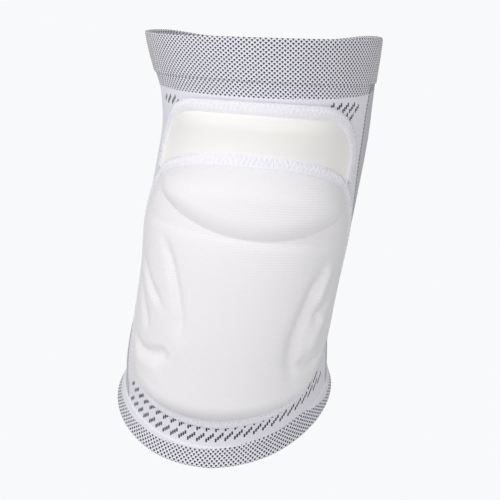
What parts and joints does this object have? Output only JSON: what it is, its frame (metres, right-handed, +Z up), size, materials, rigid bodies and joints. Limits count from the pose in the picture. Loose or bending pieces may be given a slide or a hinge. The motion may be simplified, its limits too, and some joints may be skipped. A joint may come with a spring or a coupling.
{
  "type": "volleyball knee pad",
  "caption": "Worn knee pad: a bent elastic knit sleeve with checked cuffs, a thin ivory pad above the knee and a thick white moulded pad over the knee and shin.",
  "frame": {"origin": "middle of the knee on the middle line of the leg that the sleeve is worn on", "axes": "+Z up the thigh, -Y out of the front of the knee, +X to the right as one looks at that front"},
  "size_m": [0.1475, 0.1795, 0.2602],
  "materials": {
    "checked_knit": "elastic welt knit, white with small charcoal checks",
    "white_knit": "elastic knit, cool white, with short charcoal dashes and a fine grey panel behind",
    "ivory_foam": "moulded closed-cell foam, smooth, matt ivory",
    "edging_tape": "narrow knitted tape, white, zigzag stitched",
    "pad_cover": "fine ribbed knit cover over foam, white"
  },
  "bodies": {
    "root": {"thigh_cuff": "checked_knit", "knit_sleeve": "white_knit", "calf_cuff": "checked_knit", "upper_pad": "ivory_foam", "upper_pad_edging": "edging_tape", "lower_pad": "pad_cover", "lower_pad_edging": "edging_tape"}
  },
  "joints": []
}
